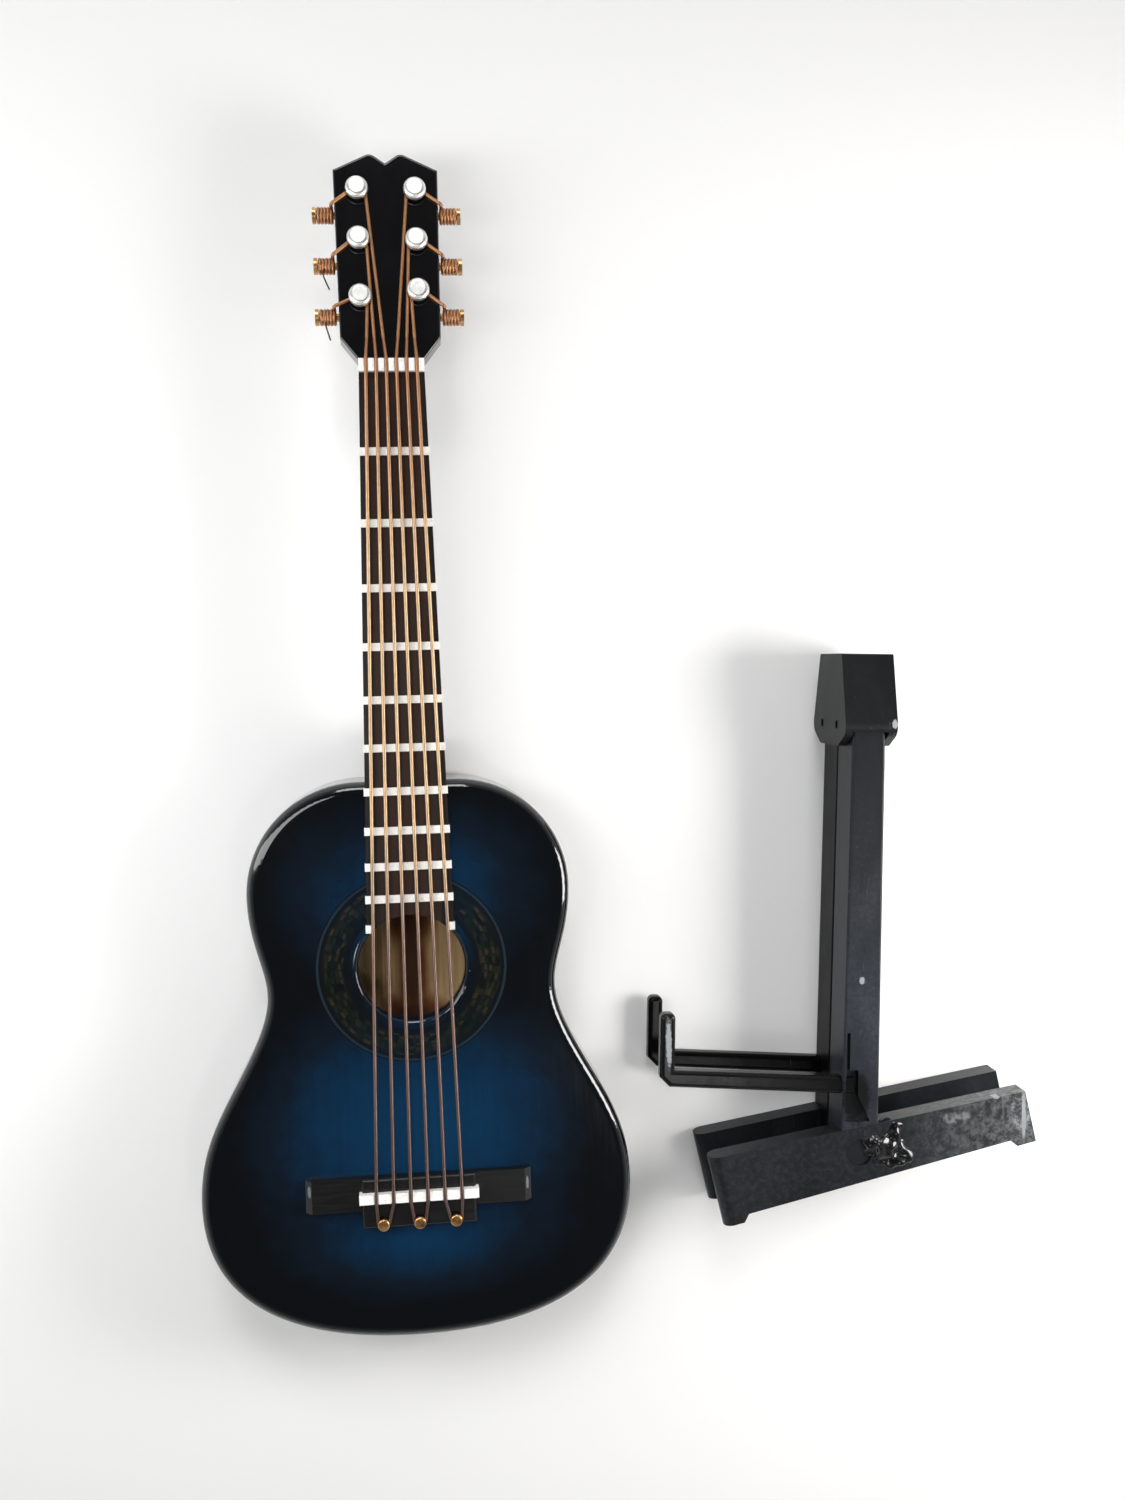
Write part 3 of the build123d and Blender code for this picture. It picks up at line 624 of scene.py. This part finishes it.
def melted_plastic():
    shader = Shader("melted_plastic", Coat_Weight=0.3, Coat_Roughness=0.06)
    flow = shader.noise(per_mm=0.5, detail=3.0, warp=1.5)
    shader.set("Base Color", shader.ramp(flow, *melt_tones))
    shader.rough(flow, smoothest=0.12, roughest=0.3)
    shader.bump((flow, 0.15, 0.3))
    return shader.material


def dark_wire():
    shader = Shader("dark_wire", Metallic=0.8)
    grime = shader.noise(per_mm=1.5, detail=3.0)
    shader.set("Base Color", shader.ramp(grime, *tail_tones))
    shader.rough(grime, smoothest=0.3, roughest=0.55)
    return shader.material


def white_table():
    shader = Shader("white_table")
    cloud = shader.noise(per_mm=0.004, detail=2.0)
    shader.set("Base Color", shader.ramp(cloud, *table_tones))
    shader.rough(cloud, smoothest=0.5, roughest=0.6)
    return shader.material


def dress_nodes():
    """Gives every CAD node its finish, by the record's material slot."""
    finishes = {
        "blue_lacquer": blue_lacquer(), "black_lacquer": black_lacquer(),
        "inner_wood": raw_wood(), "fingerboard_wood": stained_board(),
        "white_strip": white_strip(), "rosette_inlay": rosette_inlay(),
        "bridge_wood": bridge_wood(), "copper_wire": copper_wire(), "chrome": chrome(),
        "brass": brass(),
    }
    own = {"back_plate": back_wood(), **stand_finishes()}
    for part in frame["record"]["subparts"]:
        node = part["node"]
        finish = own.get(node) or finishes[part["material_slot"]]
        for slot in frame["nodes"][node].material_slots:
            slot.material = finish


# ---- Pieces ----

def stand_matrix():
    """The stand's own frame: x forward, y to its left leg, z up, from its two hinge pins."""
    joints = {joint["name"]: joint for joint in frame["joints"]}
    left = Vector(joints["left_leg_fold"]["pos_m"])
    right = Vector(joints["right_leg_fold"]["pos_m"])
    forward = Vector(joints["left_leg_fold"]["axis"]).normalized()
    across = (left - right).normalized()
    turn = Matrix((forward, across, forward.cross(across))).transposed().to_4x4()
    return Matrix.Translation((left + right) / 2) @ turn


def add_mesh(name, mesh, material, body):
    piece = bpy.data.objects.new(name, mesh)
    bpy.context.collection.objects.link(piece)
    mesh.materials.append(material)
    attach(piece, body)


def melt_lump(name, hand, rise, material):
    """The blob of melted plastic that stakes the foot to the leg, low and puckered."""
    place = stand_matrix()
    lump_pace, lump_start, lump_share = melt_lumps
    wrinkle_pace, wrinkle_start, wrinkle_share = melt_wrinkles
    built = bmesh.new()
    bmesh.ops.create_icosphere(built, subdivisions=melt_subdivisions, radius=1.0)
    for vertex in built.verts:
        point = vertex.co.copy()
        lumps = noise.noise(point * lump_pace + Vector((lump_start, 0, hand)))
        wrinkle = noise.noise(point * wrinkle_pace + Vector((0, wrinkle_start, hand)))
        swell = 1 + lump_share * lumps + wrinkle_share * wrinkle
        x = melt_forward + melt_radius * point.x * swell
        z = -melt_below + melt_radius * point.z * swell
        y = leg_outer - melt_sink + rise * point.y * (swell + melt_pucker * wrinkle)
        vertex.co = place @ (Vector((x, hand * y, z)) * MM)
    mesh = bpy.data.meshes.new(name)
    built.to_mesh(mesh)
    built.free()
    mesh.polygons.foreach_set("use_smooth", [True] * len(mesh.polygons))
    add_mesh(name, mesh, material, "left_leg" if hand > 0 else "right_leg")


def wire_tail(name, points, material):
    """A loose wire end that sticks out past a peg."""
    curve = bpy.data.curves.new(name, "CURVE")
    curve.dimensions = "3D"
    curve.bevel_depth = tail_radius * MM
    curve.bevel_resolution = 4
    curve.use_fill_caps = True
    line = curve.splines.new("NURBS")
    line.points.add(len(points) - 1)
    for place, point in zip(line.points, points):
        place.co = (*(Vector(point) * MM), 1)
    line.order_u = 3
    line.use_endpoint_u = True
    piece = bpy.data.objects.new(name, curve)
    bpy.context.collection.objects.link(piece)
    curve.materials.append(material)
    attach(piece, "guitar")


def add_pieces():
    melt = melted_plastic()
    melt_lump("melt_left", 1, melt_rise, melt)
    melt_lump("melt_right", -1, pressed_melt_rise, melt)
    wire = dark_wire()
    for name, points in wire_tails.items():
        wire_tail(name, points, wire)


# ---- Stage ----

def add_floor():
    bpy.ops.mesh.primitive_plane_add(size=floor_size, location=(0, 0, -floor_gap * MM))
    floor = bpy.context.object
    floor.name = "table"
    floor.data.materials.append(white_table())


def area_light(name, place, aim, size, power, tint):
    lamp = bpy.data.lights.new(name, "AREA")
    lamp.shape = "RECTANGLE"
    lamp.size, lamp.size_y = size
    lamp.energy = power
    lamp.color = tint
    light = bpy.data.objects.new(name, lamp)
    light.location = place
    light.rotation_euler = (Vector(aim) - Vector(place)).to_track_quat("-Z", "Y").to_euler()
    bpy.context.collection.objects.link(light)


def light_room():
    """A bright room seen from a table: pale walls all round, a darker ceiling overhead."""
    world = bpy.data.worlds.new("room")
    world.use_nodes = True
    bpy.context.scene.world = world
    tree = world.node_tree
    place = tree.nodes.new("ShaderNodeTexCoord")
    split = tree.nodes.new("ShaderNodeSeparateXYZ")
    ramp = tree.nodes.new("ShaderNodeValToRGB")
    set_stops(ramp.color_ramp.elements, room_tones)
    tree.links.new(place.outputs["Generated"], split.inputs[0])
    tree.links.new(split.outputs["Z"], ramp.inputs["Fac"])
    tree.links.new(ramp.outputs["Color"], tree.nodes["Background"].inputs["Color"])
    for light in room_lights:
        area_light(*light)


def add_camera():
    data = bpy.data.cameras.new("camera")
    data.lens = camera_lens
    data.clip_start = camera_clip_start
    camera = bpy.data.objects.new("camera", data)
    camera.location = Vector(camera_place) * MM
    camera.rotation_euler = [math.radians(angle) for angle in camera_angles]
    bpy.context.collection.objects.link(camera)
    bpy.context.scene.camera = camera


dress_nodes()
add_pieces()
add_floor()
light_room()
add_camera()
bpy.context.scene.view_settings.view_transform = "Standard"
